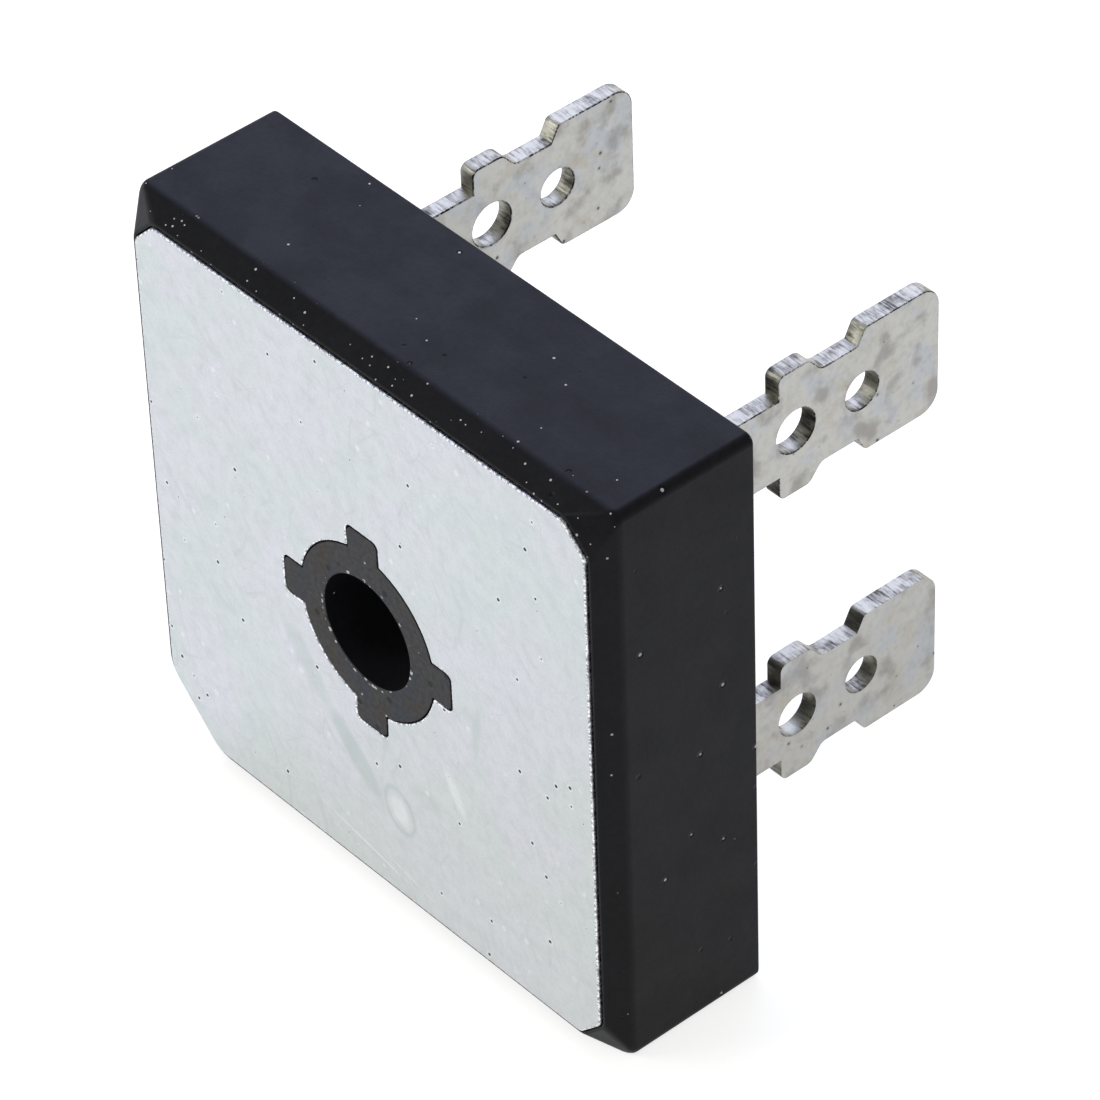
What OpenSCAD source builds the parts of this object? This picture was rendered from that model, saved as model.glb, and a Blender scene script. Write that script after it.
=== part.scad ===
// Square bridge rectifier module with four push-on terminals.
//
// The module stands on one of its narrow sides. The origin is where the axis of
// the mounting hole meets the outer face of the base plate. +Y runs along the
// hole, from the base plate to the terminals, and +Z points up.
//
// From the base plate inwards the stack is: base plate, insulating sheet, the
// feet of the two alternating-current terminals, the dice between their solder
// layers, and the feet of the positive and negative terminals. Potting resin
// fills the rest of the case.

/* [Case] */
// Width and height of the square case
case_w = 28.6; // [28.2:0.1:29.2]
// Depth from the base plate's outer face to the terminal face
case_depth = 8.0; // [7.6:0.1:9.0]
// Thickness of the side walls
wall_t = 1.2; // [1.0:0.1:1.25]
// Thickness of the wall that the terminals come out of
roof_t = 1.2; // [0.8:0.1:1.6]
// Radius of the three square corners
corner_r = 0.45; // [0.3:0.05:1.2]
// Length that the keyed corner cuts off each side
keyed_leg = 3.3; // [2.6:0.1:4.0]
// Width of the case's flat rim round the base plate
rim_w = 0.2; // [0.15:0.05:0.3]
// How far the bevel between the rim and the sides runs back
bevel_depth = 1.1; // [0.8:0.1:1.6]
// How far the base plate stands proud of the rim
plate_proud = 0.12; // [0.05:0.01:0.3]

/* [Mounting hole] */
// Diameter of the hole through the module
hole_d = 5.3; // [5.0:0.1:5.6]
// Diameter of the moulded tube round the hole
tube_d = 8.1; // [7.6:0.1:8.6]
// Width of the four keys on the tube
key_w = 1.8; // [1.2:0.1:2.2]
// Distance from the hole's axis to the end of a key
key_reach = 5.1; // [4.8:0.1:5.3]
// Gap between the base plate and the keyed tube
plate_gap = 0.06; // [0.02:0.01:0.1]

/* [Base plate] */
// Width and height of the base plate
plate_w = 27.0; // [26.8:0.1:27.1]
// Thickness of the base plate
plate_t = 1.2; // [1.0:0.1:1.4]
// Length that the base plate's three clipped corners cut off each side
plate_clip = 1.2; // [0.9:0.1:1.6]
// Radius at the ends of the clipped corners
plate_clip_r = 0.6; // [0.3:0.1:0.8]
// Thickness of the insulating sheet behind the base plate
sheet_t = 0.6; // [0.3:0.1:0.7]

/* [Terminals] */
// Thickness of the terminals' sheet metal
metal_t = 0.8; // [0.75:0.05:0.85]
// Height of the terminal ends above the terminal face
terminal_h = 12.7; // [12.0:0.1:13.2]
// Width of the push-on blade
blade_w = 6.2; // [6.0:0.1:6.4]
// Width of the neck that leaves the case
neck_w = 3.9; // [3.4:0.1:4.0]
// Width of the waist between the stop and the blade
waist_w = 4.7; // [4.2:0.1:5.0]
// Radius of the blade's end corners
tip_r = 0.95; // [0.5:0.05:1.2]
// Diameter of the hole in the stop
stop_hole_d = 2.06; // [1.8:0.02:2.2]
// Diameter of the hole in the waist
waist_hole_d = 1.78; // [1.5:0.02:2.0]
// Inner radius of the fold between the neck and the foot
fold_r = 0.4; // [0.3:0.05:0.5]

/* [Terminal places] */
// Distance of the two right-hand blades from the hole's axis
blade_x = 10.8; // [10.5:0.1:11.0]
// Distance from the left-hand blade to the right-hand blades
blade_pitch_x = 18.0; // [17.6:0.1:18.6]
// Height of the two upper blades above the hole's axis
blade_z = 9.8; // [9.5:0.1:9.8]
// Distance from the upper blades down to the lower right-hand blade
blade_pitch_z = 14.9; // [14.6:0.1:15.2]
// Distance of the turned positive blade from the opposite blades
positive_pitch = 16.6; // [16.4:0.1:17.1]

/* [Diodes] */
// Width of a diode die
die_w = 4.4; // [4.0:0.1:4.6]
// Thickness of a diode die
die_t = 0.3; // [0.25:0.05:0.35]
// Thickness of a solder layer
solder_t = 0.1; // [0.05:0.01:0.15]
// Distance of each die from the hole's axis
die_reach = 8.4; // [8.2:0.1:8.6]

/* [Hidden] */
$fn = 64;

plastic = "#3a3b40";
plate_metal = "#d2d8da";
tinned_copper = "#b4b4b2";
resin = "#222224";
alumina = "#e8e6dc";
silicon = "#565a66";
solder = "#9a9ca0";

case_half = case_w / 2;
plate_half = plate_w / 2;
cavity_half = case_half - wall_t;
cavity_end = case_depth - roof_t;
cavity_corner_r = 1.2;
edge_break = 0.1;       // softened edge round the terminal face
key_r = 0.3;            // corner radius of the keys
key_half = key_w / 2;

// The keyed corner stays parallel to itself when the outline is inset
chamfer_loss = 2 - sqrt(2);
function leg_at(inset) = keyed_leg - chamfer_loss * inset;
plate_leg = leg_at(case_half - plate_half);
plate_keyed_r = 1.5;    // corner radius at both ends of the plate's keyed corner

// Slots that let a blade through the roof, and the resin's level in them
slot_gap = 0.1;
resin_dip = 0.3;

// The terminal's outline, measured from the terminal face outwards
neck_half = neck_w / 2;
blade_half = blade_w / 2;
waist_half = waist_w / 2;
stop_start = 4.1;
stop_r = 0.35;          // radius of the stop's corners on the case's side
lobe_at = 5.5;          // where the stop's round shoulder starts
lobe_r = 0.5;
lobe_slope = 50;        // slope of the shoulder down to the waist, in degrees
waist_r = 0.5;          // radius of the hollow between the shoulder and the waist
step_at = 8.9;          // where the blade's round step ends
step_r = 0.3;
step_slope = 62;        // slope of the step up from the waist, in degrees
stop_hole_at = 5.0;
waist_hole_at = 8.55;

// Levels of the stack, as distances behind the base plate's outer face
sheet_end = plate_t + sheet_t;
lower_foot = sheet_end;
lower_solder = lower_foot + metal_t;
die_level = lower_solder + solder_t;
upper_solder = die_level + die_t;
upper_foot = upper_solder + solder_t;

// Blade places: the positive blade is turned, so its plane is given in Z
left_x = blade_x - blade_pitch_x;
low_z = blade_z - blade_pitch_z;
positive_x = blade_x - positive_pitch;
positive_z = blade_z - positive_pitch;

// Die places, in the order left, bottom, top and right of the hole
DICE = [[-die_reach, 0], [0, -die_reach], [0, die_reach], [die_reach, 0]];
LEFT = 0;
BOTTOM = 1;
TOP = 2;
RIGHT = 3;
lower_pad = die_w / 2 + 0.2;
upper_pad = die_w / 2 - 0.3;
foot_r = 0.3;
tie_w = 3.0;            // width of the strips that tie a foot's pads together
past = 1;               // how far a cut runs past the face that it opens

// ---------------------------------------------------------------- helpers

// Extrudes an outline drawn in X and Z from y0 back to y1
module slab(y0, y1) {
    translate([0, y1, 0])
        rotate([90, 0, 0])
            linear_extrude(y1 - y0) children();
}

// Rectangle between two corners with true round corners
module round_rect(low, high, r) {
    translate([low.x + r, low.y]) square([high.x - low.x - 2 * r, high.y - low.y]);
    translate([low.x, low.y + r]) square([high.x - low.x, high.y - low.y - 2 * r]);
    for (x = [low.x + r, high.x - r], y = [low.y + r, high.y - r])
        translate([x, y]) circle(r);
}

// Square outline with round corners and the keyed corner at -X and -Z
module keyed_square(half, r, leg) {
    difference() {
        round_rect([-half, -half], [half, half], r);
        translate([-half, -half])
            rotate(45)
                square([leg * sqrt(2), 2 * half], center = true);
    }
}

// Outline of the moulded tube and its four keys, grown by a gap
module tube_outline(gap = 0) {
    reach = key_reach + gap;
    half = key_half + gap;
    circle(tube_d / 2 + gap, $fn = 96);
    round_rect([-reach, -half], [reach, half], key_r);
    round_rect([-half, -reach], [half, reach], key_r);
}

// Direction that side i of the base plate faces: 0 is +X, and they turn by 45
function facing(i) = [cos(45 * i), sin(45 * i)];

// Distance of side i from the hole's axis. Odd sides are the clipped corners,
// and side 5 is the keyed one.
function side_reach(i) =
    i % 2 == 0 ? plate_half
               : sqrt(2) * plate_half - (i == 5 ? plate_leg : plate_clip) / sqrt(2);

// Radius of the round corner between side i and the next one
function corner_radius(i) = i == 4 || i == 5 ? plate_keyed_r : plate_clip_r;

// Centre of that corner
function plate_corner(i) =
    let (a = side_reach(i) - corner_radius(i),
         b = side_reach((i + 1) % 8) - corner_radius(i),
         p = facing(i),
         q = facing(i + 1))
    [a * q.y - b * p.y, b * p.x - a * q.x] / sin(45);

// Outline of the base plate, grown by a gap
module plate_outline(gap = 0) {
    for (i = [0:7]) translate(plate_corner(i)) circle(corner_radius(i) + gap);
    polygon([
        for (i = [0:7], side = [i, i + 1])
            plate_corner(i) + (corner_radius(i) + gap) * facing(side)
    ]);
}

// ------------------------------------------------------------- enclosure

// Centres of the discs at the corners of the keyed outline, inset by a margin
function outline_corners(inset, r) =
    let (c = case_half - inset - r,
         k = case_half - inset - leg_at(inset) - r * (sqrt(2) - 1))
    [[c, c], [c, -c], [-c, c], [-c, -k], [-k, -c]];

// Discs of one radius at some centres, from y0 back to y1
module discs(y0, y1, r, centres) {
    for (c = centres)
        translate([c.x, y1, c.y])
            rotate([90, 0, 0])
                cylinder(h = y1 - y0, r = r, $fn = 32);
}

// Solid form of the case: its rim, its straight sides and its terminal face
module case_form() {
    thin = 0.02;
    face_r = corner_r - edge_break;
    hull() {
        for (i = [0:7])
            discs(plate_proud, plate_proud + thin, corner_radius(i) + rim_w,
                  [plate_corner(i)]);
        discs(bevel_depth, case_depth - edge_break, corner_r,
              outline_corners(0, corner_r));
        discs(case_depth - thin, case_depth, face_r,
              outline_corners(edge_break, face_r));
    }
}

// Slot in the roof for a blade, drawn about the blade's own place
module slot_outline(gap) {
    square([metal_t + 2 * gap, blade_w + 2 * gap], center = true);
}

// All four slots, as an outline in X and Z
module slots(gap) {
    for (p = [[left_x, blade_z], [blade_x, blade_z], [blade_x, low_z]])
        translate(p) slot_outline(gap);
    translate([positive_x, positive_z]) rotate(90) slot_outline(gap);
}

module case() {
    color(plastic)
        difference() {
            union() {
                difference() {
                    case_form();
                    slab(-past, plate_t) plate_outline(plate_gap);
                    slab(0, cavity_end)
                        keyed_square(cavity_half, cavity_corner_r, leg_at(wall_t));
                    slab(cavity_end - past, case_depth + past) slots(slot_gap);
                }
                slab(0, cavity_end + roof_t / 2) tube_outline();
            }
            slab(-past, case_depth + past) circle(hole_d / 2);
        }
}

module base_plate() {
    color(plate_metal)
        slab(0, plate_t)
            difference() {
                plate_outline();
                tube_outline(plate_gap);
            }
}

module insulating_sheet() {
    color(alumina)
        slab(plate_t, sheet_end)
            difference() {
                keyed_square(cavity_half, cavity_corner_r, leg_at(wall_t));
                tube_outline();
            }
}

// ------------------------------------------------------------- terminals

// Stamped outline of the neck, the stop, the waist and the blade, with its two
// holes. X runs away from the terminal face and Y across the blade. The neck
// starts at neck_start, which lies inside the case.
module stamped_outline(neck_start) {
    lobe = [lobe_at, blade_half - lobe_r];
    lobe_end = lobe + lobe_r * [sin(lobe_slope), cos(lobe_slope)];
    hollow = [lobe_end.x + (lobe_end.y - waist_half) / tan(lobe_slope)
                  + waist_r * tan(lobe_slope / 2),
              waist_half + waist_r];
    step = [step_at, blade_half - step_r];
    step_end = step + step_r * [-sin(step_slope), cos(step_slope)];
    difference() {
        union() {
            translate([neck_start, -neck_half])
                square([stop_start + stop_r - neck_start, neck_w]);
            round_rect([stop_start, -blade_half], [lobe_at, blade_half], stop_r);
            round_rect([step_at, -blade_half], [terminal_h, blade_half], tip_r);
            for (side = [0, 1])
                mirror([0, side]) {
                    translate(lobe) circle(lobe_r);
                    translate(step) circle(step_r);
                    polygon([
                        [stop_start + stop_r, 0],
                        [stop_start + stop_r, blade_half],
                        [lobe_at, blade_half],
                        lobe_end,
                        hollow - waist_r * [sin(lobe_slope), cos(lobe_slope)],
                        hollow,
                        [hollow.x, waist_half],
                        [step_end.x - (step_end.y - waist_half) / tan(step_slope), waist_half],
                        step_end,
                        [step_at, blade_half],
                        [terminal_h - tip_r, blade_half],
                        [terminal_h - tip_r, 0]
                    ]);
                }
        }
        for (side = [0, 1])
            mirror([0, side])
                translate(hollow) circle(waist_r);
        translate([stop_hole_at, 0]) circle(stop_hole_d / 2);
        translate([waist_hole_at, 0]) circle(waist_hole_d / 2);
    }
}

// Upright part of a terminal about x = 0 and z = 0, with its neck going down to
// a fold that turns the foot towards -X at the given level
module upright(level) {
    fold_top = level + metal_t + fold_r;
    translate([-metal_t / 2, 0, 0])
        rotate([90, 0, 90])
            linear_extrude(metal_t)
                translate([case_depth, 0]) stamped_outline(fold_top - case_depth);
    translate([-metal_t / 2 - fold_r, fold_top, -neck_half])
        linear_extrude(neck_w)
            intersection() {
                difference() {
                    circle(fold_r + metal_t);
                    circle(fold_r);
                }
                translate([0, -2 * metal_t]) square(2 * metal_t);
            }
}

// Distance from a blade's middle plane to where its foot becomes flat
fold_run = metal_t / 2 + fold_r;

// Square pad of a foot over or under a die
module pad(place, half) {
    round_rect(place - [half, half], place + [half, half], foot_r);
}

module ac_terminal_1() {
    side_strip_w = 3.6;
    top_strip_w = 2.0;
    neck_gap = 0.3;
    outer = left_x - fold_run - side_strip_w;
    tie_top = blade_z - neck_half - neck_gap;
    color(tinned_copper) {
        translate([left_x, 0, blade_z]) upright(lower_foot);
        slab(lower_foot, lower_foot + metal_t) {
            translate([outer, blade_z - neck_half])
                square([left_x - fold_run - outer, neck_w]);
            round_rect([outer, -lower_pad], [left_x - fold_run, blade_z], foot_r);
            pad(DICE[LEFT], lower_pad);
            round_rect([outer, tie_top - top_strip_w], [lower_pad, tie_top], foot_r);
            pad(DICE[TOP], lower_pad);
        }
    }
}

module ac_terminal_2() {
    side_strip_w = 4.0;
    pad_step = 0.4;
    inner = blade_x - fold_run - side_strip_w;
    tie_low = DICE[BOTTOM].y - lower_pad + pad_step;
    color(tinned_copper) {
        translate([blade_x, 0, low_z]) upright(lower_foot);
        slab(lower_foot, lower_foot + metal_t) {
            translate([inner, low_z - neck_half])
                square([blade_x - fold_run - inner, neck_w]);
            round_rect([inner, tie_low], [blade_x - fold_run, lower_pad], foot_r);
            pad(DICE[RIGHT], lower_pad);
            round_rect([0, tie_low], [blade_x - fold_run, tie_low + tie_w], foot_r);
            pad(DICE[BOTTOM], lower_pad);
        }
    }
}

module negative_terminal() {
    inner = blade_x - fold_run - tie_w;
    tie_low = blade_z - neck_half;
    color(tinned_copper) {
        translate([blade_x, 0, blade_z]) upright(upper_foot);
        slab(upper_foot, upper_foot + metal_t) {
            translate([inner, tie_low]) square([tie_w, neck_w]);
            round_rect([inner, 0], [blade_x - fold_run, blade_z], foot_r);
            pad(DICE[RIGHT], upper_pad);
            round_rect([0, tie_low], [blade_x - fold_run - foot_r, tie_low + tie_w], foot_r);
            pad(DICE[TOP], upper_pad);
        }
    }
}

module positive_terminal() {
    neck_gap = 0.5;
    heel_z = positive_z - fold_run;
    tie_left = positive_x - neck_half - neck_gap - tie_w;
    tie_low = heel_z - tie_w;
    color(tinned_copper) {
        translate([positive_x, 0, positive_z])
            rotate([0, -90, 0]) upright(upper_foot);
        slab(upper_foot, upper_foot + metal_t) {
            translate([positive_x - neck_half, tie_low]) square([neck_w, tie_w]);
            round_rect([tie_left, tie_low], [0, heel_z - foot_r], foot_r);
            pad(DICE[BOTTOM], upper_pad);
            round_rect([tie_left, tie_low], [tie_left + tie_w, 0], foot_r);
            pad(DICE[LEFT], upper_pad);
        }
    }
}

// ---------------------------------------------------------------- diodes

// Square wafer centred on a die's place
module wafer(place, half, y0, y1) {
    slab(y0, y1) translate(place) square(2 * half, center = true);
}

module diode(i) {
    color(silicon) wafer(DICE[i], die_w / 2, die_level, upper_solder);
}

module lower_solder_layer(i) {
    color(solder) wafer(DICE[i], die_w / 2, lower_solder, die_level);
}

module upper_solder_layer(i) {
    color(solder) wafer(DICE[i], upper_pad, upper_solder, upper_foot);
}

// --------------------------------------------------------------- potting

// Resin that fills the case behind the insulating sheet and rises in the slots
module potting() {
    color(resin)
        difference() {
            union() {
                slab(sheet_end, cavity_end)
                    keyed_square(cavity_half, cavity_corner_r, leg_at(wall_t));
                slab(cavity_end - past, case_depth - resin_dip) slots(slot_gap);
            }
            slab(0, case_depth) tube_outline();
            ac_terminal_1();
            ac_terminal_2();
            negative_terminal();
            positive_terminal();
            for (i = [0:3]) {
                diode(i);
                lower_solder_layer(i);
                upper_solder_layer(i);
            }
        }
}

case();
base_plate();
insulating_sheet();
potting();
ac_terminal_1();
ac_terminal_2();
negative_terminal();
positive_terminal();
diode(LEFT);  // diode_1
diode(BOTTOM);  // diode_2
diode(TOP);  // diode_3
diode(RIGHT);  // diode_4
lower_solder_layer(LEFT);  // diode_1_lower_solder
lower_solder_layer(BOTTOM);  // diode_2_lower_solder
lower_solder_layer(TOP);  // diode_3_lower_solder
lower_solder_layer(RIGHT);  // diode_4_lower_solder
upper_solder_layer(LEFT);  // diode_1_upper_solder
upper_solder_layer(BOTTOM);  // diode_2_upper_solder
upper_solder_layer(TOP);  // diode_3_upper_solder
upper_solder_layer(RIGHT);  // diode_4_upper_solder
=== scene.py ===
"""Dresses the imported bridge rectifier: its softened edges, its finishes and the studio."""

import logging
import math
from contextlib import contextmanager
from dataclasses import dataclass, fields
from enum import Enum, IntEnum
from typing import Callable, Iterator, Sequence

import bpy
from mathutils import Matrix, Vector


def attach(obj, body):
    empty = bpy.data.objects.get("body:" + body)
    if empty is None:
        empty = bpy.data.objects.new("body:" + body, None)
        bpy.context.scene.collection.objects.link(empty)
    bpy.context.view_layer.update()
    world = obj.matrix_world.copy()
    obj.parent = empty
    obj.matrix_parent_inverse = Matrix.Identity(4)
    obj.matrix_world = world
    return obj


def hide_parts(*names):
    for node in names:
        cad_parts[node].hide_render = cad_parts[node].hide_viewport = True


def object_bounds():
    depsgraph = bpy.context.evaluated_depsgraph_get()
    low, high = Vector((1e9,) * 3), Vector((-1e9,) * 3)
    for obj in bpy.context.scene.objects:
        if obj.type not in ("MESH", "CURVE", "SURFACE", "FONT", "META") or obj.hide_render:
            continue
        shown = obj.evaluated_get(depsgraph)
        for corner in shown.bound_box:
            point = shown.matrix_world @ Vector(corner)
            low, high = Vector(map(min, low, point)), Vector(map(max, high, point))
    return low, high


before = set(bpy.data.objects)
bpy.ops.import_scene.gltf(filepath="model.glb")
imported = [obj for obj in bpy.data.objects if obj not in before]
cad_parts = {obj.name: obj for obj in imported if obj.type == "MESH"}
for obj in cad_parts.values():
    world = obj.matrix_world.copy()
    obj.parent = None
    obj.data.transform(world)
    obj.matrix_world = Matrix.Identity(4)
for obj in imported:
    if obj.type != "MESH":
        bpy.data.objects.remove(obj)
CAD_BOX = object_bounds()

LOG = logging.getLogger("rectifier")
MM = 0.001
BODY = "root"
WELD = 0.0005         # distance under which two points of a solid are one, mm
FLAT = 0.5            # angle under which two faces of a solid are one, degrees
ROUNDING_STEPS = 2    # faces across a softened edge
EDGE_ON = 1e3         # stretch that takes an axis out of a distance
Colour = tuple[float, float, float]
Triple = tuple[float, float, float]
Span = tuple[float, float]
Socket = bpy.types.NodeSocket
Piece = bpy.types.Object


class Slot(Enum):
    """Material slots of the part's record. Nothing in this script uses them."""

    CASE = "case_plastic"
    PLATE = "plate_metal"
    TERMINAL = "tinned_copper"


class Pick(Enum):
    """What edit mode selects."""

    POINTS = "VERT"
    EDGES = "EDGE"


class Axis(IntEnum):
    """Axes that the thickness of a terminal's sheet lies along."""

    X = 0
    Z = 2


class Skin(IntEnum):
    """Place of each finish among the materials of a terminal."""

    FACE = 0
    CUT = 1
    BURR = 2


# ------------------------------------------------------------------ mesh tools


def select_only(obj: Piece) -> None:
    """Make an object the only selected and the active one.

    Args:
        obj: The object.
    """
    bpy.ops.object.select_all(action="DESELECT")
    obj.select_set(True)
    bpy.context.view_layer.objects.active = obj


@contextmanager
def edit_mode(obj: Piece, pick: Pick = Pick.POINTS) -> Iterator[None]:
    """Open obj in edit mode with everything selected, and close it again.

    Args:
        obj: The mesh object to edit.
        pick: What is selected.
    """
    select_only(obj)
    bpy.ops.object.mode_set(mode="EDIT")
    bpy.ops.mesh.select_mode(type=pick.value)
    bpy.ops.mesh.select_all(action="SELECT")
    yield
    bpy.ops.object.mode_set(mode="OBJECT")


def merged_copy(node: str, name: str) -> Piece:
    """Copy a solid's mesh and turn its loose triangles into clean flat faces.

    Args:
        node: Name of the solid in the frame.
        name: Name of the new piece.

    Returns:
        The new piece, at the origin, with no material.
    """
    piece = bpy.data.objects.new(name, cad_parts[node].data.copy())
    bpy.context.scene.collection.objects.link(piece)
    piece.data.materials.clear()
    with edit_mode(piece):
        bpy.ops.mesh.remove_doubles(threshold=WELD * MM)
        bpy.ops.mesh.dissolve_limited(angle_limit=math.radians(FLAT))
    return piece


def round_over(piece: Piece, width: float, segments: int,
               wanted: Callable[[Vector, Vector], bool]) -> None:
    """Round over the edges of a piece that a test picks by their two ends.

    Args:
        piece: The piece to edit.
        width: Width of the rounding in millimetres.
        segments: Number of faces across the rounding.
        wanted: Tells from an edge's two ends, in millimetres, whether it is picked.
    """
    with edit_mode(piece, Pick.EDGES):
        bpy.ops.mesh.select_all(action="DESELECT")
        bpy.ops.object.mode_set(mode="OBJECT")
        points = piece.data.vertices
        for edge in piece.data.edges:
            start, end = (points[i].co / MM for i in edge.vertices)
            edge.select = wanted(start, end)
        bpy.ops.object.mode_set(mode="EDIT")
        bpy.ops.mesh.bevel(offset=width * MM, segments=segments, affect="EDGES")


def soften_edges(piece: Piece, width: float, above: float) -> None:
    """Round off a piece's sharp edges and shade it smooth between them.

    Args:
        piece: The piece to finish.
        width: Width of the rounding in millimetres.
        above: Smallest angle between two faces that counts as an edge, in degrees.
    """
    select_only(piece)
    bevel = piece.modifiers.new("edges", "BEVEL")
    bevel.width = width * MM
    bevel.segments = ROUNDING_STEPS
    bevel.limit_method = "ANGLE"
    bevel.angle_limit = math.radians(above)
    bpy.ops.object.modifier_apply(modifier=bevel.name)
    bpy.ops.object.shade_smooth_by_angle(angle=math.radians(above))
    even = piece.modifiers.new("even_normals", "WEIGHTED_NORMAL")
    even.keep_sharp = True
    bpy.ops.object.modifier_apply(modifier=even.name)


def settle(piece: Piece, node: str) -> Piece:
    """Let a finished piece ride on the module and stand for its solid.

    Args:
        piece: The finished piece.
        node: Name of the solid that it replaces.

    Returns:
        The piece.
    """
    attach(piece, BODY)
    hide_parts(node)
    return piece


# ------------------------------------------------------------ patterns by size


@dataclass(frozen=True)
class Patches:
    """Soft patches of noise, stretched between two values."""

    size: float                       # of the largest patches, mm
    low: float = 0.3                  # noise level that gives the start value
    high: float = 0.7                 # noise level that gives the end value
    start: float = 0.0
    end: float = 1.0
    detail: float = 3.0               # number of finer layers
    fine: float = 0.55                # strength of the finer layers
    swirl: float = 0.0
    shift: Triple = (0, 0, 0)         # place of the pattern, mm


@dataclass(frozen=True)
class Grain:
    """Fine relief all over a surface."""

    size: float                       # of its largest bumps, mm
    depth: float                      # mm
    fine: float = 0.55                # strength of the finer layers


@dataclass(frozen=True)
class Specks:
    """Small round specks, each with a ring round it."""

    spacing: float                    # width of the cell that may hold a speck, mm
    radius: float                     # largest radius of a speck, mm
    share: float                      # share of the cells that hold one
    shift: Triple = (0, 0, 0)         # place of the pattern, mm
    least: float = 0.4                # smallest radius, as a share of the largest
    speck_fade: Span = (0.8, 1.1)     # where a speck fades out, in its radii
    ring_fade: Span = (1.3, 2.3)      # where its ring fades out, in its radii


@dataclass(frozen=True)
class Scratches:
    """Short fine scratches on a face that looks along Y."""

    spacing: float                    # rough distance between them, mm
    width: float                      # mm
    angle: float                      # direction below X, degrees
    share: float                      # share of their length that shows
    stretch: float = 4.0              # length of a scratch, in spacings
    wander: float = 0.9               # how far they bend aside, mm
    wander_size: float = 9.0          # length over which they bend, mm
    patch: float = 2.2                # size of the patches that show or hide them, mm
    patch_levels: Span = (0.62, 0.7)  # noise levels of those patches, less half the share


@dataclass(frozen=True)
class Mark:
    """A long oval mark on a face that looks along Y, or the outline of one."""

    x: float                          # place of its middle, mm
    z: float
    fall: float                       # direction of its length below X, degrees
    half_length: float                # mm
    half_width: float                 # mm
    strength: float = 1.0
    soft: float = 0.7                 # share of its half width that fades out
    ring: bool = False                # only the outline, of half that softness


# -------------------------------------------------------------- material tools


def linear(red: int, green: int, blue: int) -> Colour:
    """Turn a display colour into the linear colour that shaders use.

    Args:
        red: Red channel from 0 to 255.
        green: Green channel.
        blue: Blue channel.

    Returns:
        The three linear channels from 0 to 1.
    """
    def channel(value: int) -> float:
        """Turn one channel by the sRGB curve."""
        share = value / 255
        return share / 12.92 if share <= 0.04045 else ((share + 0.055) / 1.055) ** 2.4
    return channel(red), channel(green), channel(blue)


class Wiring:
    """Node tree of a material or of the world, built up by short calls."""

    def __init__(self, owner: bpy.types.Material | bpy.types.World) -> None:
        """Start with an emptied tree.

        Args:
            owner: The material or world that the tree belongs to.
        """
        owner.use_nodes = True
        self.tree = owner.node_tree
        self.tree.nodes.clear()

    def node(self, kind: str, inputs: dict[str | int, object] | None = None,
             **settings: object) -> bpy.types.Node:
        """Add a node.

        Args:
            kind: Its type, without the leading "ShaderNode".
            inputs: What its inputs take, by name or number: a socket or a plain value.
            **settings: Its own properties.

        Returns:
            The new node.
        """
        new = self.tree.nodes.new("ShaderNode" + kind)
        for key, value in settings.items():
            setattr(new, key, value)
        for key, value in (inputs or {}).items():
            self.feed(new.inputs[key], value)
        return new

    def feed(self, target: Socket, value: Socket | float | Sequence[float]) -> None:
        """Put a value into a socket.

        Args:
            target: The socket that takes it.
            value: Another socket or a plain value.
        """
        if isinstance(value, bpy.types.NodeSocket):
            self.tree.links.new(value, target)
        else:
            target.default_value = value

    def math(self, operation: str, first: Socket | float, second: Socket | float = 0.0) -> Socket:
        """Combine two values by an operation of the Math node."""
        return self.node("Math", {0: first, 1: second}, operation=operation).outputs["Value"]

    def show(self, kind: str, shader: Socket) -> None:
        """Give the tree its output, of kind OutputMaterial or OutputWorld."""
        self.node(kind, {"Surface": shader})


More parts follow.
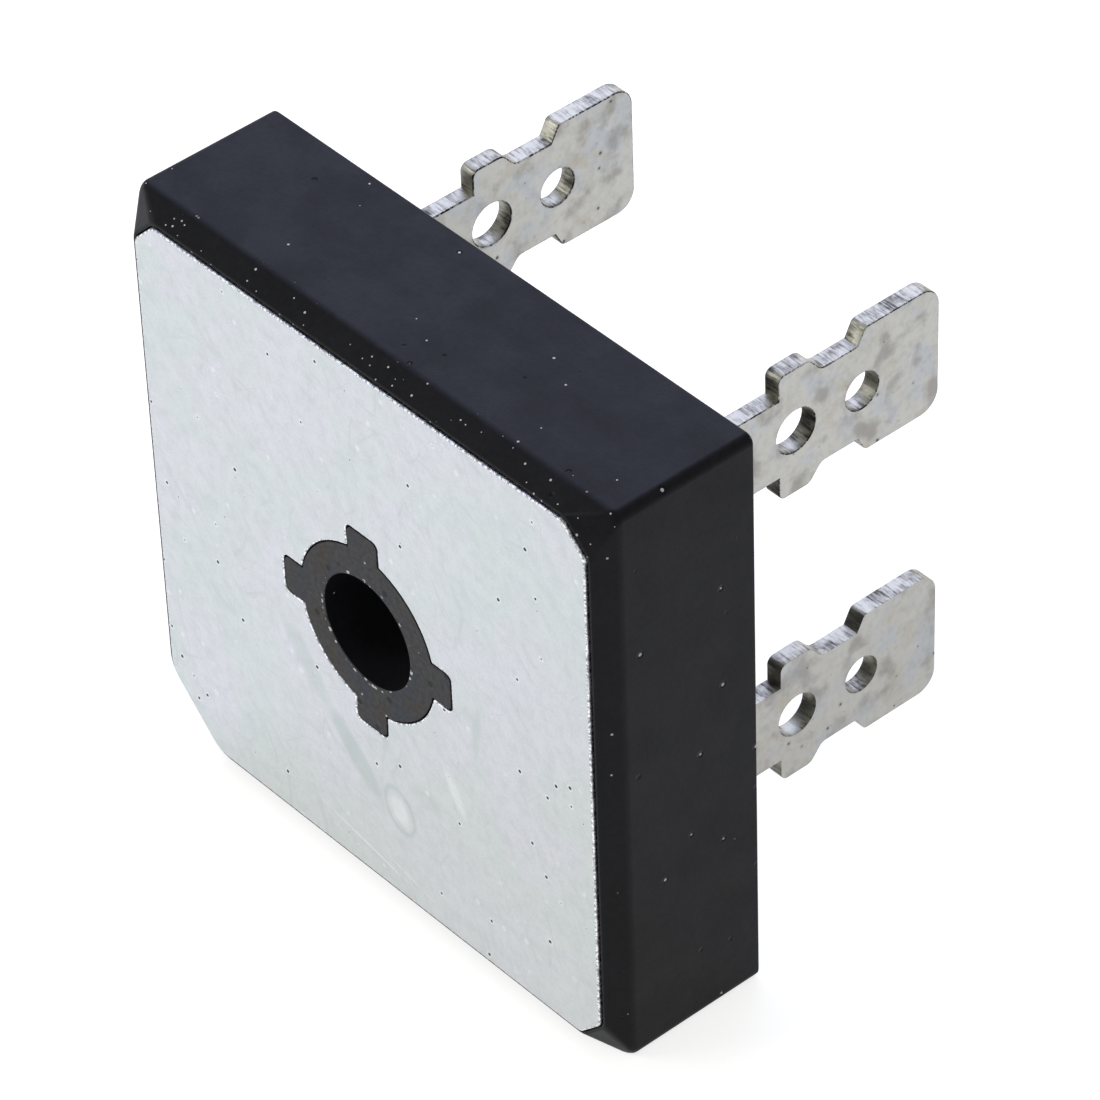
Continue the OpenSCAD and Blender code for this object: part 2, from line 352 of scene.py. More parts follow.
class Recipe(Wiring):
    """Node tree of one surface finish."""

    def __init__(self, name: str) -> None:
        """Start a material with a surface shader and a pattern space.

        Args:
            name: Name of the material.
        """
        self.material = bpy.data.materials.new(name)
        super().__init__(self.material)
        self.shader = self.node("BsdfPrincipled")
        self.show("OutputMaterial", self.shader.outputs["BSDF"])
        self.space = self.node("TexCoord").outputs["Object"]

    def turned(self, angle: Triple = (0, 0, 0), scale: Triple = (1, 1, 1),
               shift: Triple = (0, 0, 0)) -> Socket:
        """Give the pattern space turned, stretched and shifted.

        Args:
            angle: Turn about X, Y and Z in degrees.
            scale: Stretch along X, Y and Z.
            shift: Place of the new centre in millimetres.

        Returns:
            The vector socket of the new space.
        """
        return self.node("Mapping", {
            "Location": [value * MM for value in shift],
            "Rotation": [math.radians(value) for value in angle],
            "Scale": scale,
            "Vector": self.space}, vector_type="TEXTURE").outputs["Vector"]

    def coordinate(self, axis: str) -> Socket:
        """Give the place along X, Y or Z, in metres."""
        return self.node("SeparateXYZ", {"Vector": self.space}).outputs[axis]

    def noise(self, size: float, detail: float = 3.0, fine: float = 0.55, swirl: float = 0.0,
              space: Socket | None = None) -> Socket:
        """Add soft noise.

        Args:
            size: Size of its largest patches in millimetres.
            detail: Number of finer layers.
            fine: Strength of the finer layers.
            swirl: Amount of swirl.
            space: The vector that it reads, or None for the pattern space.

        Returns:
            The value socket, from 0 to 1.
        """
        return self.node("TexNoise", {
            "Scale": 1 / (size * MM),
            "Detail": detail,
            "Roughness": fine,
            "Distortion": swirl,
            "Vector": self.space if space is None else space}).outputs["Fac"]

    def window(self, value: Socket, low: float, high: float, start: float = 0.0,
               end: float = 1.0) -> Socket:
        """Stretch a range of values to another one, with soft and clamped ends.

        Args:
            value: The socket to stretch.
            low: Value that gives start.
            high: Value that gives end.
            start: Result at low.
            end: Result at high.

        Returns:
            The stretched value.
        """
        return self.node("MapRange", {
            "Value": value,
            "From Min": low,
            "From Max": high,
            "To Min": start,
            "To Max": end}, interpolation_type="SMOOTHSTEP").outputs["Result"]

    def patches(self, patches: Patches) -> Socket:
        """Add soft patches.

        Args:
            patches: Their sizes and values.

        Returns:
            The value socket.
        """
        space = self.turned(shift=patches.shift) if any(patches.shift) else self.space
        noise = self.noise(patches.size, patches.detail, patches.fine, patches.swirl, space)
        return self.window(noise, patches.low, patches.high, patches.start, patches.end)

    def lay(self, under: Socket | Colour, over: Socket | Colour, mask: Socket,
            cover: float = 1.0) -> Socket:
        """Lay a colour over another one.

        Args:
            under: The colour below.
            over: The colour on top.
            mask: Where it lies, from 0 to 1.
            cover: How much it covers there.

        Returns:
            The colour socket.
        """
        factor = mask if cover == 1 else self.math("MULTIPLY", mask, cover)
        below, above = (colour if isinstance(colour, bpy.types.NodeSocket) else (*colour, 1)
                        for colour in (under, over))
        blend = self.node("Mix", {"Factor": factor, 6: below, 7: above}, data_type="RGBA")
        return blend.outputs[2]

    def reach(self, space: Socket) -> Socket:
        """Give the distance from the centre of a pattern space, in its own millimetres."""
        length = self.node("VectorMath", {0: space}, operation="LENGTH")
        return self.math("DIVIDE", length.outputs["Value"], MM)

    def average(self, first: Socket, second: Socket) -> Socket:
        """Give the mean of two values."""
        return self.math("MULTIPLY", self.math("ADD", first, second), 0.5)

    def either(self, *masks: Socket) -> Socket:
        """Give one mask for several.

        Args:
            *masks: Their sockets.

        Returns:
            The mask socket, the largest of them everywhere.
        """
        mask = masks[0]
        for other in masks[1:]:
            mask = self.math("MAXIMUM", mask, other)
        return mask

    def specks(self, specks: Specks) -> tuple[Socket, Socket]:
        """Scatter small round specks.

        Args:
            specks: Their sizes.

        Returns:
            The mask sockets of the specks and of their rings, rings with their specks.
        """
        cells = self.node("TexVoronoi", {
            "Scale": 1 / (specks.spacing * MM),
            "Vector": self.turned(shift=specks.shift)})
        chance = self.node("SeparateColor", {"Color": cells.outputs["Color"]}).outputs
        chosen = self.math("LESS_THAN", chance["Red"], specks.share)
        largest = specks.radius / specks.spacing
        size = self.window(chance["Green"], 0, 1, specks.least * largest, largest)
        near = self.math("DIVIDE", cells.outputs["Distance"], size)
        speck, ring = (self.math("MULTIPLY", chosen, self.window(near, *fade, 1, 0))
                       for fade in (specks.speck_fade, specks.ring_fade))
        return speck, ring

    def scratches(self, lines: Scratches) -> Socket:
        """Draw short fine scratches.

        Args:
            lines: Their sizes and direction.

        Returns:
            The mask socket, 1 on a scratch.
        """
        angle = lines.angle
        along = self.turned((0, angle, 0), (lines.stretch, lines.stretch, 1), (angle, angle, angle))
        swirl = self.node("TexNoise", {
            "Scale": 1 / (lines.wander_size * MM),
            "Vector": self.space})
        bent = self.node("VectorMath", {
            0: swirl.outputs["Color"],
            1: [lines.wander * MM] * 3,
            2: along}, operation="MULTIPLY_ADD")
        cells = self.node("TexVoronoi", {
            "Scale": 1 / (lines.spacing * MM),
            "Vector": bent.outputs["Vector"]}, feature="DISTANCE_TO_EDGE")
        line = self.window(cells.outputs["Distance"], 0, lines.width / lines.spacing, 1, 0)
        patch = self.noise(lines.patch, 2, space=self.turned(shift=(angle, 3, 1)))
        low, high = (level - lines.share / 2 for level in lines.patch_levels)
        return self.math("MULTIPLY", line, self.window(patch, low, high))

    def mark(self, mark: Mark) -> Socket:
        """Draw one soft mark.

        Args:
            mark: Its place and sizes.

        Returns:
            The mask socket.
        """
        size = (mark.half_length, EDGE_ON, mark.half_width)
        reach = self.reach(self.turned((0, mark.fall, 0), size, (mark.x, 0, mark.z)))
        if mark.ring:
            off_line = self.math("ABSOLUTE", self.math("SUBTRACT", reach, 1))
            shape = self.window(off_line, 0, mark.soft, 1, 0)
        else:
            shape = self.window(reach, 1 - mark.soft, 1, 1, 0)
        return self.math("MULTIPLY", shape, mark.strength)

    def marks(self, marks: Sequence[Mark]) -> Socket:
        """Give one mask for several marks."""
        return self.either(*(self.mark(mark) for mark in marks))

    def bump(self, height: Socket, depth: float, under: Socket | None = None) -> Socket:
        """Raise the surface by a height.

        Args:
            height: The height, from 0 to 1.
            depth: Height that 1 stands for, in millimetres.
            under: An earlier bump that this one lies on.

        Returns:
            The normal socket.
        """
        inputs = {"Strength": 1.0, "Distance": depth * MM, "Height": height}
        if under is not None:
            inputs["Normal"] = under
        return self.node("Bump", inputs).outputs["Normal"]

    def grain(self, grain: Grain) -> Socket:
        """Give the normal of a fine relief."""
        return self.bump(self.noise(grain.size, fine=grain.fine), grain.depth)

    def pitted(self, holes: Socket, depth: float, under: Socket) -> Socket:
        """Sink pits of a depth in millimetres into a surface, by their mask."""
        return self.bump(self.math("SUBTRACT", 1, holes), depth, under)

    def surface(self, **sockets: Socket | float | Sequence[float]) -> bpy.types.Material:
        """Fill the shader's sockets.

        Args:
            **sockets: What they take, by name, with underscores for spaces.

        Returns:
            The material.
        """
        for key, value in sockets.items():
            self.feed(self.shader.inputs[key.replace("_", " ")], value)
        return self.material


# -------------------------------------------------------------------- finishes


@dataclass(frozen=True)
class MouldedPlastic:
    """Black moulding compound with a fine matt grain, dust and a few pits that hold dust."""

    name: str = "moulded_plastic"
    dark: Colour = linear(24, 24, 26)
    light: Colour = linear(32, 32, 35)
    hollow: Colour = linear(12, 12, 13)
    dust: Colour = linear(225, 225, 225)
    gloss: float = 0.09
    roughness: Patches = Patches(1.9, start=0.38, end=0.47)
    wide: Patches = Patches(2.6, 0.35, 0.65, detail=4, fine=0.6)
    close: Patches = Patches(0.28, detail=2, fine=0.6)
    grain: Grain = Grain(0.11, 0.006, 0.7)
    pits: Specks = Specks(1.5, 0.09, 0.5, (5, 2, 9))
    pit_depth: float = 0.03            # mm
    pit_shade: float = 0.6
    loose: Specks = Specks(0.7, 0.06, 0.3)
    crumbs: Specks = Specks(0.36, 0.058, 0.75, (3, 7, 5))
    dust_cover: float = 0.8
    ledge_back: Span = (1.1, 1.3)      # Y where the ledge's crumbs fade out, mm
    ledge_foot: Span = (12.0, 13.0)    # Z where they fade in, mm

    def colour(self, recipe: Recipe) -> Socket:
        """Give the plastic's own colour, with its fine and wide mottle."""
        mottle = recipe.average(recipe.patches(self.wide), recipe.patches(self.close))
        return recipe.lay(self.dark, self.light, mottle)

    def ledge(self, recipe: Recipe) -> Socket:
        """Give the mask of the sloped upper front edge, where dust gathers.

        Args:
            recipe: The recipe to add it to.

        Returns:
            The mask socket.
        """
        near, far = (place * MM for place in self.ledge_back)
        low, high = (place * MM for place in self.ledge_foot)
        return recipe.math("MULTIPLY", recipe.window(recipe.coordinate("Y"), near, far, 1, 0),
                           recipe.window(recipe.coordinate("Z"), low, high))

    def material(self) -> bpy.types.Material:
        """Build the material.

        Returns:
            The material.
        """
        recipe = Recipe(self.name)
        pits, hollows = recipe.specks(self.pits)
        colour = recipe.lay(self.colour(recipe), self.hollow, hollows, self.pit_shade)
        crumbs = recipe.math("MULTIPLY", recipe.specks(self.crumbs)[0], self.ledge(recipe))
        every_speck = recipe.either(recipe.specks(self.loose)[0], crumbs, pits)
        return recipe.surface(
            Base_Color=recipe.lay(colour, self.dust, every_speck, self.dust_cover),
            Roughness=recipe.patches(self.roughness),
            Normal=recipe.pitted(hollows, self.pit_depth, recipe.grain(self.grain)),
            Specular_IOR_Level=self.gloss)


@dataclass(frozen=True)
class FrontLitRubbedPlastic:
    """End of the moulded tube: the case's plastic, rubbed, and painted a lighter grey as light on
    its front-facing end, with pale crumbs round the hole's rim.
    """

    name: str = "lit_and_rubbed_plastic"
    # painted light: these greys are far lighter than the case's own plastic, as light on the end
    # that faces the front
    base: Colour = linear(87, 86, 86)
    cool: Colour = linear(78, 82, 90)
    warm: Colour = linear(88, 82, 75)
    grey: Colour = linear(70, 70, 71)
    chip: Colour = linear(46, 46, 48)
    crumb: Colour = linear(228, 228, 228)
    roughness: float = 0.6
    gloss: float = 0.09
    cool_clouds: Patches = Patches(1.9, 0.48, 0.62, 0, 0.9, fine=0.5, shift=(3, 0, 0))
    warm_clouds: Patches = Patches(1.7, 0.52, 0.66, 0, 0.9, fine=0.5, shift=(0, 0, 8))
    close: Patches = Patches(0.25, 0.35, 0.65, 0, 0.8, fine=0.6)
    grain: Grain = Grain(0.16, 0.008, 0.65)
    chips: Specks = Specks(0.9, 0.22, 0.4, (1, 4, 2))
    chip_cover: float = 0.7
    crumbs: Specks = Specks(0.22, 0.11, 0.9)
    rim: Span = (2.66, 2.82)           # radii that the crumbs lie between, mm
    strays: Specks = Specks(0.8, 0.07, 0.5, (8, 1, 6))

    def on_rim(self, recipe: Recipe) -> Socket:
        """Give the mask of the hole's rim, where the crumbs lie.

        Args:
            recipe: The recipe to add it to.

        Returns:
            The mask socket.
        """
        radius = recipe.reach(recipe.turned(scale=(1, EDGE_ON, 1)))
        return recipe.math("MULTIPLY", recipe.math("GREATER_THAN", radius, self.rim[0]),
                           recipe.math("LESS_THAN", radius, self.rim[1]))

    def material(self) -> bpy.types.Material:
        """Build the material.

        Returns:
            The material.
        """
        recipe = Recipe(self.name)
        colour = recipe.lay(self.base, self.cool, recipe.patches(self.cool_clouds))
        colour = recipe.lay(colour, self.warm, recipe.patches(self.warm_clouds))
        colour = recipe.lay(colour, self.grey, recipe.patches(self.close))
        colour = recipe.lay(colour, self.chip, recipe.specks(self.chips)[0], self.chip_cover)
        crumbs = recipe.math("MULTIPLY", self.on_rim(recipe), recipe.specks(self.crumbs)[0])
        pale = recipe.either(crumbs, recipe.specks(self.strays)[0])
        return recipe.surface(
            Base_Color=recipe.lay(colour, self.crumb, pale),
            Roughness=self.roughness,
            Normal=recipe.grain(self.grain),
            Specular_IOR_Level=self.gloss)


@dataclass(frozen=True)
class PlateMetal:
    """Satin base plate: soft clouds, rub marks, hairlines, pits with painted shade inside and a
    painted highlight round each rim, and a smear.
    """

    name: str = "plate_metal"
    cool: Colour = linear(201, 207, 205)
    warm: Colour = linear(206, 207, 211)
    shade: Colour = linear(182, 187, 189)
    stain: Colour = linear(174, 185, 182)
    polish: Colour = linear(230, 234, 233)
    pit: Colour = linear(40, 41, 44)
    roughness: Patches = Patches(1.1, start=0.31, end=0.42)
    clouds: Patches = Patches(5.5, 0.42, 0.6, detail=4, fine=0.6, swirl=0.4)
    lower_cloud: Mark = Mark(5, -11, 25, 17, 6, 0.85, 0.9)
    rub_directions: tuple[Span, ...] = ((50, 0.22), (15, 0.14), (80, 0.14))  # degrees, strength
    rub_levels: Span = (0.5, 0.72)     # noise levels of no and full rub
    rub_size: float = 0.6              # width of a rub mark, mm
    rub_stretch: float = 4.0           # its length, in widths
    close: Patches = Patches(0.6, 0.42, 0.68, 0, 0.4, detail=4, fine=0.75)
    closest: Patches = Patches(0.1, 0.4, 0.62, 0, 0.3, detail=2, fine=0.6)
    smear: tuple[Mark, ...] = (
        Mark(-4.1, -4.2, 51, 2.9, 0.8, 0.45, 0.6),
        Mark(-1.2, -7.4, 46, 2.8, 0.75, 0.65, 0.5),
        Mark(1.45, -8.75, 68, 1.15, 0.85, 0.6, 0.22, True),
        Mark(3.2, -6.9, 10, 1.3, 0.8, 0.3),
        Mark(6.6, -1.2, 97, 2.2, 0.35, 0.35),
    )
    rubbed: tuple[Mark, ...] = (
        Mark(1.45, -8.75, 68, 0.95, 0.65, 0.35, 0.5),
        Mark(-1.0, -12.1, 11, 3.6, 0.05, 0.8),
        Mark(1.9, -12.2, 14, 2.4, 0.04, 0.6),
        Mark(5.1, -5.4, 60, 1.5, 0.45, 0.4),
    )
    scratches: tuple[Scratches, ...] = (
        Scratches(1.4, 0.03, 52, 0.24),
        Scratches(1.9, 0.028, 28, 0.2),
        Scratches(1.9, 0.028, 76, 0.2),
        Scratches(1.9, 0.028, -18, 0.14),
    )
    scratch_cover: float = 0.45
    pits: Specks = Specks(0.75, 0.088, 0.5)
    pit_depth: float = 0.02            # mm
    # share of the painted highlight laid on each pit's rim
    pit_rim: float = 0.4
    grain: Grain = Grain(0.35, 0.0015, 0.6)

    def colour(self, recipe: Recipe) -> Socket:
        """Give the plate's own colour: wide clouds, rub marks and a fine mottle.

        Args:
            recipe: The recipe to add it to.

        Returns:
            The colour socket.
        """
        wide = recipe.either(recipe.patches(self.clouds), recipe.mark(self.lower_cloud))
        colour = recipe.lay(self.cool, self.warm, wide)
        for angle, strength in self.rub_directions:
            space = recipe.turned((0, angle, 0), (self.rub_stretch, 1, 1), (angle, 0, 0))
            rub = recipe.noise(self.rub_size, fine=0.6, space=space)
            colour = recipe.lay(colour, self.shade,
                                recipe.window(rub, *self.rub_levels, 0, strength))
        colour = recipe.lay(colour, self.shade, recipe.patches(self.close))
        return recipe.lay(colour, self.shade, recipe.patches(self.closest))

    def material(self) -> bpy.types.Material:
        """Build the material.

        Returns:
            The material.
        """
        recipe = Recipe(self.name)
        colour = recipe.lay(self.colour(recipe), self.stain, recipe.marks(self.smear))
        colour = recipe.lay(colour, self.polish, recipe.marks(self.rubbed))
        lines = recipe.either(*(recipe.scratches(lines) for lines in self.scratches))
        colour = recipe.lay(colour, self.shade, lines, self.scratch_cover)
        # painted shade fills each pit, and a painted highlight lies on its rim; the polish colour
        # also serves the real rub marks
        pits, rim_highlights = recipe.specks(self.pits)
        colour = recipe.lay(colour, self.polish, rim_highlights, self.pit_rim)
        return recipe.surface(
            Base_Color=recipe.lay(colour, self.pit, pits),
            Metallic=1.0,
            Roughness=recipe.patches(self.roughness),
            Normal=recipe.pitted(pits, self.pit_depth, recipe.grain(self.grain)))


@dataclass(frozen=True)
class BurnishedEdge:
    """Rounded punched edge of the plate, with a bright and slightly ragged burr."""

    name: str = "burnished_edge"
    dull: Colour = linear(150, 152, 155)
    bright: Colour = linear(250, 251, 252)
    roughness: float = 0.38
    ragged: Patches = Patches(0.16, 0.42, 0.58, fine=0.7)
    grain: Grain = Grain(0.25, 0.015, 0.7)

    def material(self) -> bpy.types.Material:
        """Build the material.

        Returns:
            The material.
        """
        recipe = Recipe(self.name)
        return recipe.surface(
            Base_Color=recipe.lay(self.dull, self.bright, recipe.patches(self.ragged)),
            Metallic=1.0,
            Roughness=self.roughness,
            Normal=recipe.grain(self.grain))


@dataclass(frozen=True)
class TinnedCopper:
    """Dull tin plate on copper, with faint blue and yellow clouds, a few dark specks and a painted
    shade that darkens the lower terminals.
    """

    name: str = "tinned_copper"
    clean: Colour = linear(182, 181, 175)
    blue: Colour = linear(171, 176, 180)
    yellow: Colour = linear(173, 168, 154)
    dull: Colour = linear(134, 131, 126)
    speck: Colour = linear(56, 54, 52)
    roughness: Patches = Patches(1.2, 0.35, 0.7, 0.33, 0.41)
    blue_clouds: Patches = Patches(1.9, 0.5, 0.64, 0, 0.7, fine=0.5)
    yellow_clouds: Patches = Patches(1.6, 0.54, 0.7, 0, 0.8, 4, 0.6, 0.4, (9, 5, 2))
    close: Patches = Patches(0.35, 0.42, 0.7, 0, 0.22, fine=0.6)
    spots: Patches = Patches(1.5, 0.5, 0.68, 0, 0.7, 4, 0.5, shift=(2, 2, 4))
    tarnish: Span = (-9.0, 6.0)        # Z from which a slight painted shade of the lower terminals fades out, mm
    tarnish_cover: float = 0.25
    specks: Specks = Specks(0.7, 0.08, 0.5)
    speck_cover: float = 0.85
    ring_cover: float = 0.4
    grain: Grain = Grain(0.3, 0.003)

    def material(self) -> bpy.types.Material:
        """Build the material.

        Returns:
            The material.
        """
        recipe = Recipe(self.name)
        colour = recipe.lay(self.clean, self.blue, recipe.patches(self.blue_clouds))
        colour = recipe.lay(colour, self.yellow, recipe.patches(self.yellow_clouds))
        colour = recipe.lay(colour, self.dull, recipe.patches(self.close))
        colour = recipe.lay(colour, self.dull, recipe.patches(self.spots))
        # painted shade: duller towards the bottom, where the lower terminals take less light
        low, high = (place * MM for place in self.tarnish)
        tarnish = recipe.window(recipe.coordinate("Z"), low, high, self.tarnish_cover, 0)
        colour = recipe.lay(colour, self.dull, tarnish)
        specks, rings = recipe.specks(self.specks)
        colour = recipe.lay(colour, self.dull, rings, self.ring_cover)
        return recipe.surface(
            Base_Color=recipe.lay(colour, self.speck, specks, self.speck_cover),
            Metallic=1.0,
            Roughness=recipe.patches(self.roughness),
            Normal=recipe.grain(self.grain))


@dataclass(frozen=True)
class ShearedCopper:
    """Stamped edge of a terminal: streaked through its thickness and partly bare."""

    name: str = "sheared_copper"
    pale: Colour = linear(188, 186, 172)
    dull: Colour = linear(72, 69, 65)
    roughness: float = 0.5
    stretch: Triple = (7, 1, 1)        # of the streaks, along the thickness
    bare: Span = (0.44, 0.66)          # noise levels of pale and dull tin
    streak: Grain = Grain(0.14, 0.02, 0.7)
    patch: float = 1.1                 # size of the bare patches, mm

    def material(self) -> bpy.types.Material:
        """Build the material.

        Returns:
            The material.
        """
        recipe = Recipe(self.name)
        streak = recipe.noise(self.streak.size, fine=self.streak.fine,
                              space=recipe.turned(scale=self.stretch))
        both = recipe.average(streak, recipe.noise(self.patch, fine=0.6))
        return recipe.surface(
            Base_Color=recipe.lay(self.pale, self.dull, recipe.window(both, *self.bare)),
            Metallic=1.0,
            Roughness=self.roughness,
            Normal=recipe.bump(streak, self.streak.depth))


@dataclass(frozen=True)
class Mottled:
    """Plain solid stuff with a slight mottle, for the parts sealed inside and the resin."""

    name: str
    light: Colour
    dark: Colour
    roughness: float
    metallic: float = 0.0
    patch: float = 0.8                 # size of the mottle, mm
    relief: float = 0.002              # depth of the grain, mm
    spread: float = 0.06               # how far the roughness differs either way
    finer: float = 6.0                 # size of the mottle against that of the grain

    def material(self) -> bpy.types.Material:
        """Build the material.

        Returns:
            The material.
        """
        recipe = Recipe(self.name)
        mottle = Patches(self.patch, 0.35, 0.65, detail=4, fine=0.6)
        roughness = Patches(self.patch, start=self.roughness - self.spread,
                            end=self.roughness + self.spread, detail=4, fine=0.6)
        return recipe.surface(
            Base_Color=recipe.lay(self.dark, self.light, recipe.patches(mottle)),
            Metallic=self.metallic,
            Roughness=recipe.patches(roughness),
            Normal=recipe.grain(Grain(self.patch / self.finer, self.relief)))


# ---------------------------------------------------------------- the module


@dataclass
class Enclosure:
    """The moulded case, with the end of its tube rubbed and painted lighter as front light."""

    edge: float = 0.07           # rounding of the case's edges, mm
    crease: float = 22.0         # smallest angle that is rounded, degrees
    shoulder: float = 0.22       # rounding where the front bevel meets the sides, mm
    shoulder_steps: int = 3      # faces across that rounding
    shoulder_y: float = 1.1      # place of that shoulder behind the front, mm
    shoulder_near: float = 0.02  # how close to it its edges lie, mm
    tube_reach: float = 5.3      # radius that holds the tube's keyed end, mm
    tube_end: float = 0.2        # how far behind the front that end may lie, mm
    tube_lean: float = 0.3       # how much its faces look to the front, at least
    plastic: MouldedPlastic = MouldedPlastic()
    # the tube's end, rubbed and painted lighter as front light
    rubbed: FrontLitRubbedPlastic = FrontLitRubbedPlastic()

    def build(self) -> list[Piece]:
        """Build the case.

        Returns:
            The case alone.
        """
        case = merged_copy("case", "case_moulding")
        round_over(case, self.shoulder, self.shoulder_steps, self.on_shoulder)
        soften_edges(case, self.edge, self.crease)
        case.data.materials.append(self.plastic.material())
        case.data.materials.append(self.rubbed.material())
        for face in case.data.polygons:
            if self.on_tube(face):
                face.material_index = 1
        return [settle(case, "case")]

    def on_shoulder(self, start: Vector, end: Vector) -> bool:
        """Tell whether an edge runs along the shoulder of the front bevel."""
        return all(abs(point.y - self.shoulder_y) < self.shoulder_near for point in (start, end))

    def on_tube(self, face: bpy.types.MeshPolygon) -> bool:
        """Tell whether a face lies on the end of the tube.

        Args:
            face: The face.

        Returns:
            True on the tube's end.
        """
        centre = face.center / MM
        front = face.normal.y < -self.tube_lean and centre.y < self.tube_end
        return front and math.hypot(centre.x, centre.z) < self.tube_reach


@dataclass
class BasePlate:
    """The punched metal plate on the front."""

    edge: float = 0.11           # rounding of the punched edges, mm
    crease: float = 33.0         # smallest angle that is rounded, degrees
    flat: float = 0.97           # how squarely its flat faces look along Y, at least
    metal: PlateMetal = PlateMetal()
    burr: BurnishedEdge = BurnishedEdge()

    def build(self) -> list[Piece]:
        """Build the plate.

        Returns:
            The plate alone.
        """
        plate = merged_copy("base_plate", "base_plate_sheet")
        soften_edges(plate, self.edge, self.crease)
        plate.data.materials.append(self.metal.material())
        plate.data.materials.append(self.burr.material())
        for face in plate.data.polygons:
            face.material_index = int(abs(face.normal.y) < self.flat)
        return [settle(plate, "base_plate")]


@dataclass
class TerminalSet:
    """The four stamped and folded terminals."""

    edge: float = 0.06           # rounding of the stamped edges, mm
    crease: float = 33.0         # smallest angle that is rounded, degrees
    flat: float = 0.97           # how squarely a sheet's faces look across it, at least
    cut: float = 0.1             # how much its stamped edges look across it, at most
    nodes: tuple[str, ...] = ("ac_terminal_1", "ac_terminal_2", "negative_terminal",
                              "positive_terminal")
    turned: str = "positive_terminal"   # the one whose blade looks along Z
    metal: TinnedCopper = TinnedCopper()
    sheared: ShearedCopper = ShearedCopper()
    sheared_turned: ShearedCopper = ShearedCopper("sheared_copper_turned", stretch=(1, 1, 7))
    burr: ShearedCopper = ShearedCopper("stamped_burr", linear(172, 170, 163), linear(50, 47, 44),
                                        roughness=0.45, stretch=(1, 1, 1), bare=(0.44, 0.54))

    def build(self) -> list[Piece]:
        """Build each terminal from its solid.

        Returns:
            The four terminals.
        """
        tin, burr = self.metal.material(), self.burr.material()
        cut, cut_turned = self.sheared.material(), self.sheared_turned.material()
        pieces = []
        for node in self.nodes:
            blade = merged_copy(node, node + "_stamping")
            soften_edges(blade, self.edge, self.crease)
            turned = node == self.turned
            for material in (tin, cut_turned if turned else cut, burr):
                blade.data.materials.append(material)
            for face in blade.data.polygons:
                face.material_index = self.skin(face, Axis.Z if turned else Axis.X)
            pieces.append(settle(blade, node))
        return pieces

    def skin(self, face: bpy.types.MeshPolygon, across: Axis) -> Skin:
        """Tell which finish a face of a terminal takes.

        Args:
            face: The face.
            across: The axis along the sheet's thickness.

        Returns:
            The finish's place among the terminal's materials.
        """
        lean = abs(face.normal[across])
        if lean > self.flat:
            return Skin.FACE
        return Skin.CUT if lean < self.cut else Skin.BURR


@dataclass
class Inside:
    """The potting resin and what it seals in, which keep their own solids.

    Each field is named as its solids are, and the first that a solid's name holds counts.
    """

    potting: Mottled = Mottled("resin", linear(40, 40, 42), linear(22, 22, 24), 0.3,
                               patch=1.4, relief=0.004)
    insulating_sheet: Mottled = Mottled("alumina", linear(238, 236, 226), linear(222, 219, 206),
                                        0.6)
    solder: Mottled = Mottled("solder", linear(172, 174, 178), linear(140, 142, 146), 0.4, 1.0)
    diode: Mottled = Mottled("silicon", linear(96, 102, 118), linear(70, 74, 88), 0.25, 0.6,
                             patch=2.0)

    def build(self) -> list[Piece]:
        """Give every inner solid its finish.

        Returns:
            The inner solids.
        """
        finishes = {kind.name: getattr(self, kind.name).material() for kind in fields(self)}
        pieces = []
        for name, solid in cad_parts.items():
            kinds = [kind for kind in finishes if kind in name]
            if kinds:
                solid.data.materials.clear()
                solid.data.materials.append(finishes[kinds[0]])
                pieces.append(solid)
        return pieces


# ------------------------------------------------------------------- studio


@dataclass(frozen=True)
class Lamp:
    """A square soft lamp that looks at the module."""

    name: str
    direction: Triple                 # from the module to the lamp
    size: float                       # mm
    power: float                      # W
    colour: Colour = (1.0, 1.0, 1.0)
    distance: float = 500.0           # mm

    def build(self) -> None:
        """Hang the lamp."""
        light = bpy.data.lights.new(self.name, "AREA")
        light.size = self.size * MM
        light.energy = self.power
        light.color = self.colour
        lamp = bpy.data.objects.new(self.name, light)
        direction = Vector(self.direction)
        lamp.location = direction.normalized() * self.distance * MM
        lamp.rotation_euler = direction.to_track_quat("Z", "Y").to_euler()
        bpy.context.scene.collection.objects.link(lamp)


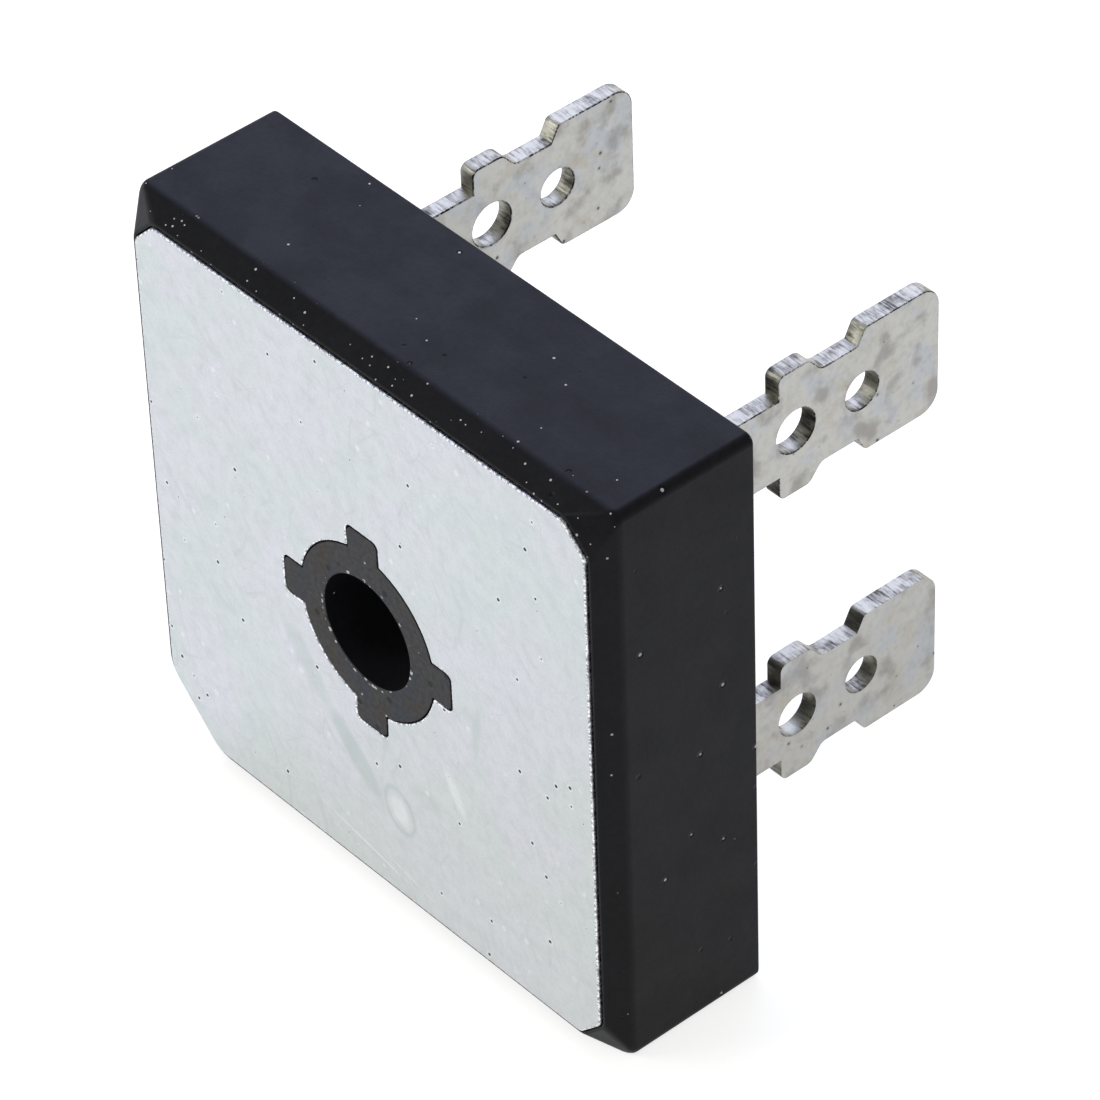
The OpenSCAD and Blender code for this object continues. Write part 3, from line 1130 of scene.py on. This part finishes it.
@dataclass
class Studio:
    """White floor, soft lamps and the camera."""

    azimuth: float = 49.991      # camera direction from the front, degrees
    elevation: float = 40.753    # camera height above the horizon, degrees
    roll: float = -2.185         # lean of the picture, degrees
    distance: float = 254.77     # camera to target, mm
    target: Triple = (4.403, 6.0, 3.560)   # mm
    lens: float = 210.62         # focal length, mm
    sensor: float = 36.0         # width of the sensor, mm
    nearest: float = 10.0        # nearest thing that the camera sees, mm
    floor_radius: float = 3000.0           # mm
    floor_sides: int = 96
    floor_paint: Colour = (0.62, 0.62, 0.6)
    floor_glow: float = 0.74     # what it adds for the camera and in reflections
    sky_light: float = 0.37      # strength of the world as a light
    sky_seen: float = 1.0        # strength that the camera sees
    lamps: tuple[Lamp, ...] = (
        Lamp("sheen_lamp", (-0.58, 0.485, 0.656), 360, 1.3, (0.60, 0.66, 1.0)),
        Lamp("front_lamp", (-0.57, -0.69, 0.45), 200, 0.75),
        Lamp("back_lamp", (-0.35, 0.86, 0.37), 360, 0.30),
        Lamp("right_lamp", (0.95, 0.1, 0.42), 360, 0.18),
    )

    def build(self) -> None:
        """Build the floor, the world, the lamps and the camera."""
        self.floor()
        self.world()
        for lamp in self.lamps:
            lamp.build()
        self.camera()
        bpy.context.scene.view_settings.view_transform = "Standard"

    def floor(self) -> None:
        """Lay the floor under the module. It stays white but keeps soft shadow."""
        bpy.ops.object.select_all(action="DESELECT")
        bpy.ops.mesh.primitive_circle_add(vertices=self.floor_sides, radius=self.floor_radius * MM,
                                          fill_type="NGON", location=(0, 0, CAD_BOX[0][2]))
        floor = bpy.context.active_object
        floor.name = "floor"
        material = bpy.data.materials.new("white_floor")
        nodes = Wiring(material)
        rays = nodes.node("LightPath").outputs
        seen = nodes.math("MAXIMUM", rays["Is Camera Ray"], rays["Is Glossy Ray"])
        seen = nodes.math("MAXIMUM", seen, rays["Is Transmission Ray"])
        glow = nodes.node("Emission", {
            "Color": (1, 1, 1, 1),
            "Strength": nodes.math("MULTIPLY", seen, self.floor_glow)})
        paint = nodes.node("BsdfDiffuse", {"Color": (*self.floor_paint, 1)})
        both = nodes.node("AddShader", {0: paint.outputs["BSDF"], 1: glow.outputs["Emission"]})
        nodes.show("OutputMaterial", both.outputs["Shader"])
        floor.data.materials.append(material)

    def world(self) -> None:
        """Light everything softly, and show white behind the module."""
        world = bpy.data.worlds.new("studio")
        bpy.context.scene.world = world
        nodes = Wiring(world)
        strength = nodes.node("MapRange", {
            "Value": nodes.node("LightPath").outputs["Is Camera Ray"],
            "To Min": self.sky_light,
            "To Max": self.sky_seen})
        sky = nodes.node("Background", {
            "Color": (1, 1, 1, 1),
            "Strength": strength.outputs["Result"]})
        nodes.show("OutputWorld", sky.outputs["Background"])

    def camera(self) -> None:
        """Set the camera at its direction, lean and distance."""
        azimuth, elevation = math.radians(self.azimuth), math.radians(self.elevation)
        back = Vector((math.sin(azimuth) * math.cos(elevation),
                       -math.cos(azimuth) * math.cos(elevation), math.sin(elevation)))
        data = bpy.data.cameras.new("camera")
        data.lens = self.lens
        data.sensor_width = self.sensor
        data.clip_start = self.nearest * MM
        camera = bpy.data.objects.new("camera", data)
        lean = Matrix.Rotation(math.radians(self.roll), 4, "Z")
        pose = back.to_track_quat("Z", "Y").to_matrix().to_4x4() @ lean
        pose.translation = (Vector(self.target) + back * self.distance) * MM
        camera.matrix_world = pose
        bpy.context.scene.collection.objects.link(camera)
        bpy.context.scene.camera = camera


def main() -> None:
    """Build and report the module's pieces in order, then build the studio."""
    logging.basicConfig(level=logging.INFO, format="%(name)s %(message)s")
    for assembly in (Enclosure(), BasePlate(), TerminalSet(), Inside()):
        for piece in assembly.build():
            finishes = ", ".join(material.name for material in piece.data.materials)
            LOG.info("%s: %d faces, %s", piece.name, len(piece.data.polygons), finishes)
    Studio().build()


if __name__ == "__main__":
    main()
